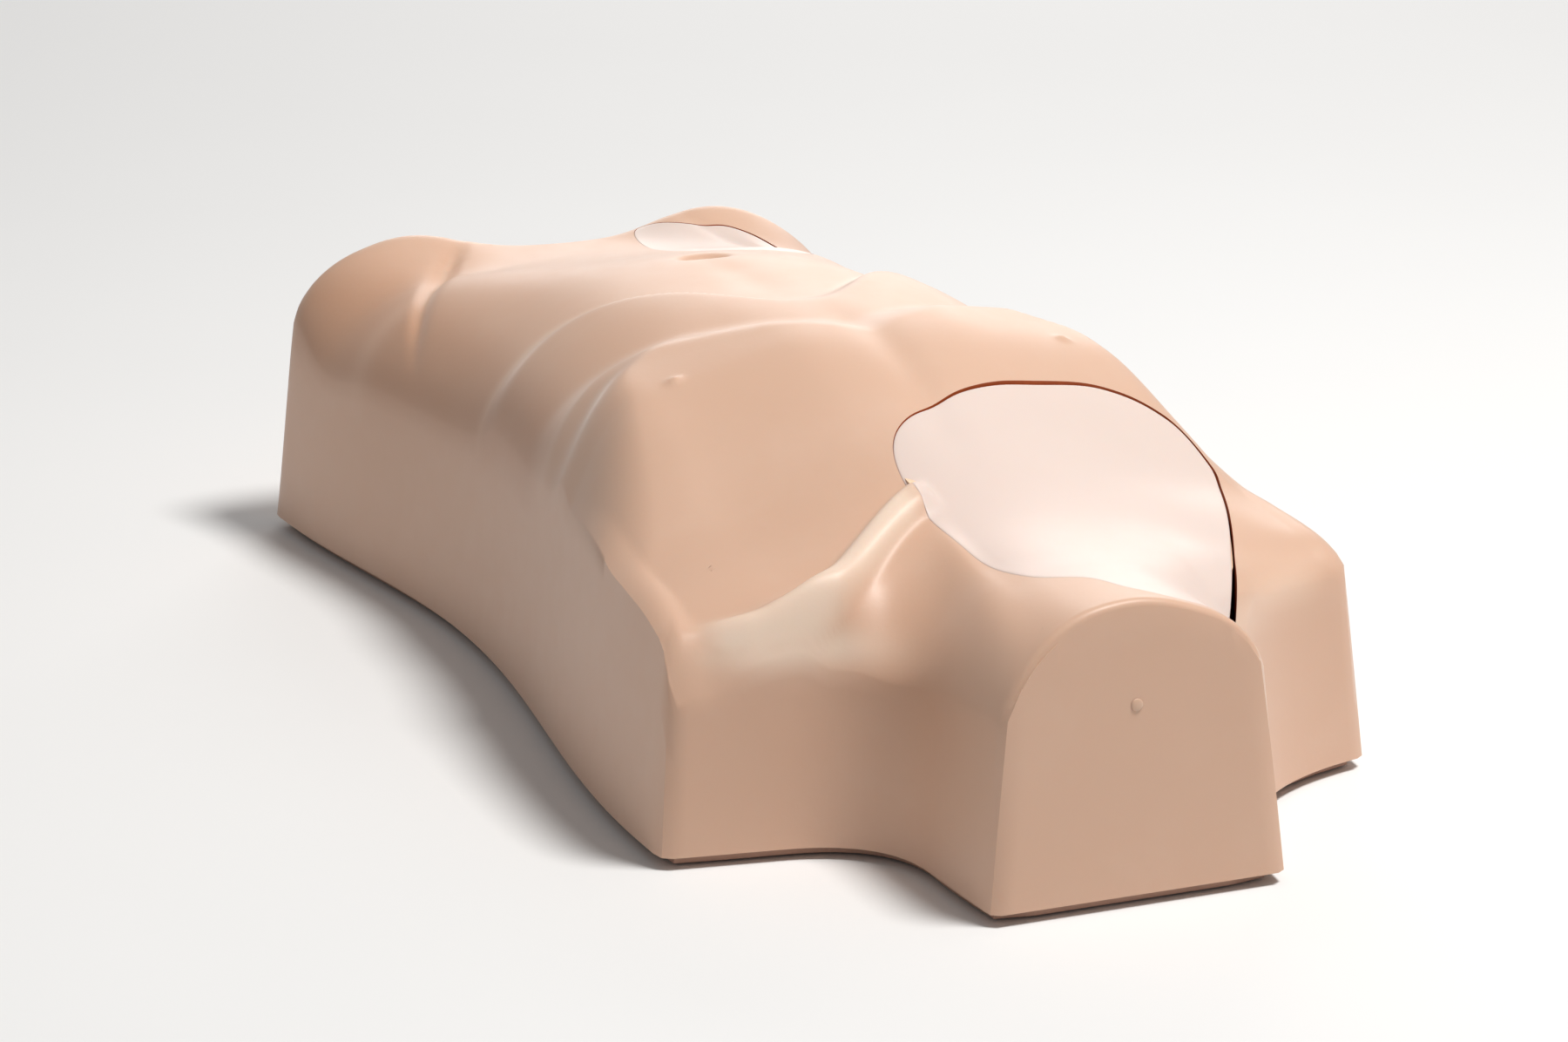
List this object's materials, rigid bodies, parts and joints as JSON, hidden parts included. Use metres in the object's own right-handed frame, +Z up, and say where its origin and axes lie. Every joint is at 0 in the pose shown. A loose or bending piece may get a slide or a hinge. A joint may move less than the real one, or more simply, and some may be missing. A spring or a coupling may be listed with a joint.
{
  "type": "iv training torso",
  "caption": "Life-size flesh-coloured practice torso lying on its back, with soft puncture inserts at the right neck and right groin.",
  "frame": {"origin": "middle of the footprint, on the surface that the rubber feet stand on", "axes": "+X to the torso's left side, +Y to its head end, +Z up"},
  "size_m": [0.3808, 0.7388, 0.2044],
  "materials": {
    "shell": "satin flesh-coloured vinyl",
    "plate": "fine-grained tan board",
    "brass": "turned",
    "steel": "zinc plated",
    "rubber": "moulded black rubber",
    "skin": "smooth pale pink elastomer",
    "tissue": "soft cast elastomer",
    "bone": "cast resin",
    "vein": "latex tube",
    "artery": "latex tube",
    "fitting": "white nylon",
    "cap": "moulded red rubber"
  },
  "bodies": {
    "root": {"torso_shell": "shell", "base_plate": "plate", "threaded_inserts": "brass", "base_screws": "steel", "rubber_feet": "rubber", "vent_plug": "shell", "neck_skin": "skin", "neck_tissue": "tissue", "clavicle_core": "bone", "internal_jugular_vein": "vein", "external_jugular_vein": "vein", "subclavian_vein": "vein", "carotid_artery": "artery", "neck_spigots": "fitting", "neck_spigot_seals": "rubber", "neck_spigot_nuts": "fitting", "neck_spigot_caps": "cap", "groin_skin": "skin", "groin_tissue": "tissue", "femoral_vein": "vein", "femoral_artery": "artery", "groin_spigots": "fitting", "groin_spigot_seals": "rubber", "groin_spigot_nuts": "fitting", "groin_spigot_caps": "cap"}
  },
  "joints": []
}
